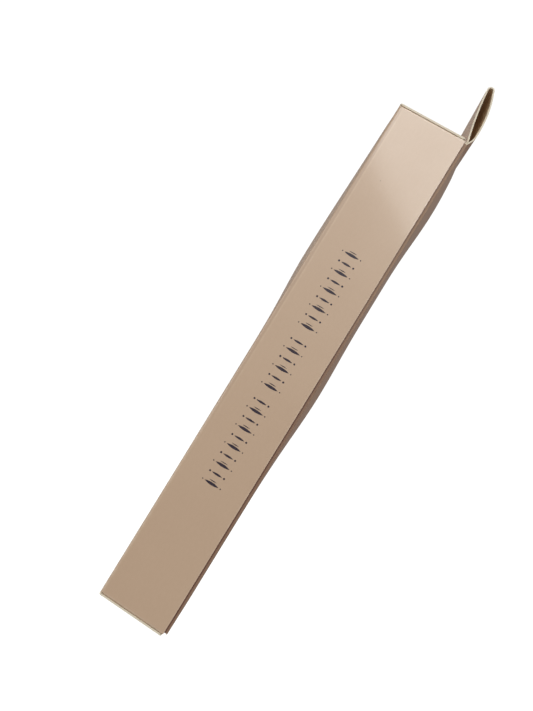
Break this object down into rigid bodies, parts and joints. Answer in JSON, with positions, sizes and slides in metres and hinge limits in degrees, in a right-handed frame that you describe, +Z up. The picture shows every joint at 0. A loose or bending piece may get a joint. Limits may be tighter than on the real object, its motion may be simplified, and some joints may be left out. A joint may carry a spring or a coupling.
{
  "type": "boxed ultrasonic skin scrubber",
  "caption": "Slim straight-tuck carton with a folded hang tab, opening at both ends, holding a moulded tray, a folded leaflet and a handheld ultrasonic skin scrubber with a capped steel blade.",
  "frame": {"origin": "centre of the carton's footprint on the surface that it stands on, at the outer face of the bottom lid", "axes": "+Z up along the carton's length to the hang tab, +Y towards the back panel, +X towards the glued narrow side"},
  "size_m": [0.064, 0.0372, 0.2433],
  "materials": {
    "board": "satin rose-beige coating on one side, cream core and inside",
    "tray_film": "satin vacuum-formed film",
    "leaflet_paper": "plain uncoated paper",
    "shell": "satin warm white",
    "trim": "polished rose gold",
    "blade_steel": "fine brushed",
    "horn": "machined",
    "piezo": "fired, silvered faces",
    "contact_brass": "bright",
    "plain_steel": "zinc plated",
    "soft_rubber": "matt",
    "cell_wrap": "foil pouch",
    "foam": "closed-cell foam",
    "laminate": "solder-masked laminate",
    "winding": "taped winding on ferrite",
    "switch": "moulded",
    "led": "clear moulded",
    "clear": "clear moulded",
    "cap": "clear moulded",
    "wire_red": "insulation",
    "wire_blue": "insulation"
  },
  "bodies": {
    "carton": {"front_panel": "board", "back_panel": "board", "near_side_panel": "board", "far_side_panel": "board", "glue_flap": "board", "tab_glue_strip": "board", "inner_tray": "tray_film", "user_leaflet": "leaflet_paper", "front_shell": "shell", "rear_shell": "shell", "trim_band": "trim", "head_seal": "soft_rubber", "scrubber_blade": "blade_steel", "blade_horn": "horn", "piezo_discs": "piezo", "electrode_washer": "contact_brass", "tail_mass": "horn", "transducer_bolt": "plain_steel", "damping_ring": "soft_rubber", "battery_cell": "cell_wrap", "battery_pad": "foam", "circuit_board": "laminate", "drive_transformer": "winding", "tact_switches": "switch", "indicator_leds": "led", "light_pipe": "clear", "charging_socket": "plain_steel", "battery_leads": "wire_red", "transducer_leads": "wire_blue", "hand_contact_plate": "blade_steel", "shell_screws": "plain_steel"},
    "top_lid": {"top_lid": "board"},
    "top_tuck": {"top_tuck_flap": "board"},
    "top_dust_near": {"top_dust_flap_near": "board"},
    "top_dust_far": {"top_dust_flap_far": "board"},
    "bottom_lid": {"bottom_lid": "board"},
    "bottom_tuck": {"bottom_tuck_flap": "board"},
    "bottom_dust_near": {"bottom_dust_flap_near": "board"},
    "bottom_dust_far": {"bottom_dust_flap_far": "board"},
    "hang_tab": {"hang_tab_back_ply": "board", "hang_tab_front_ply": "board"},
    "power_key": {"power_button": "trim"},
    "mode_key": {"mode_button": "trim"},
    "blade_cap": {"protective_cap": "cap"}
  },
  "joints": [
    {"name": "top_lid_crease", "type": "hinge", "parent": "carton", "child": "top_lid", "pos_m": [0, -0.015, 0.22], "axis": [1, 0, 0], "range_deg": [0, 180]},
    {"name": "top_tuck_crease", "type": "hinge", "parent": "top_lid", "child": "top_tuck", "pos_m": [0, 0.0128, 0.2197], "axis": [1, 0, 0], "range_deg": [0, 36]},
    {"name": "top_dust_near_crease", "type": "hinge", "parent": "carton", "child": "top_dust_near", "pos_m": [0.032, 0, 0.219], "axis": [0, 1, 0], "range_deg": [0, 90]},
    {"name": "top_dust_far_crease", "type": "hinge", "parent": "carton", "child": "top_dust_far", "pos_m": [-0.032, 0, 0.219], "axis": [0, -1, 0], "range_deg": [0, 90]},
    {"name": "bottom_lid_crease", "type": "hinge", "parent": "carton", "child": "bottom_lid", "pos_m": [0, -0.015, 0], "axis": [-1, 0, 0], "range_deg": [0, 180]},
    {"name": "bottom_tuck_crease", "type": "hinge", "parent": "bottom_lid", "child": "bottom_tuck", "pos_m": [0, 0.0128, 0.0003], "axis": [-1, 0, 0], "range_deg": [0, 36]},
    {"name": "bottom_dust_near_crease", "type": "hinge", "parent": "carton", "child": "bottom_dust_near", "pos_m": [0.032, 0, 0.001], "axis": [0, -1, 0], "range_deg": [0, 90]},
    {"name": "bottom_dust_far_crease", "type": "hinge", "parent": "carton", "child": "bottom_dust_far", "pos_m": [-0.032, 0, 0.001], "axis": [0, 1, 0], "range_deg": [0, 90]},
    {"name": "hang_tab_crease", "type": "hinge", "parent": "carton", "child": "hang_tab", "pos_m": [0, 0.01535, 0.22], "axis": [-1, 0, 0], "range_deg": [0, 90], "stiffness_Nm_per_rad": 0.001},
    {"name": "power_button_press", "type": "slide", "parent": "carton", "child": "power_key", "axis": [0, 1, 0], "range_m": [0, 0.0005], "stiffness_N_per_m": 1000},
    {"name": "mode_button_press", "type": "slide", "parent": "carton", "child": "mode_key", "axis": [0, 1, 0], "range_m": [0, 0.0005], "stiffness_N_per_m": 1000},
    {"name": "cap_slide", "type": "slide", "parent": "carton", "child": "blade_cap", "axis": [0, 0, 1], "range_m": [0, 0.036]}
  ],
  "couplings": [
    {"joint": "top_tuck_crease", "follows": "top_lid_crease", "ratio": 0.2},
    {"joint": "top_dust_near_crease", "follows": "top_lid_crease", "ratio": 0.5},
    {"joint": "top_dust_far_crease", "follows": "top_lid_crease", "ratio": 0.5},
    {"joint": "bottom_tuck_crease", "follows": "bottom_lid_crease", "ratio": 0.2},
    {"joint": "bottom_dust_near_crease", "follows": "bottom_lid_crease", "ratio": 0.5},
    {"joint": "bottom_dust_far_crease", "follows": "bottom_lid_crease", "ratio": 0.5}
  ]
}
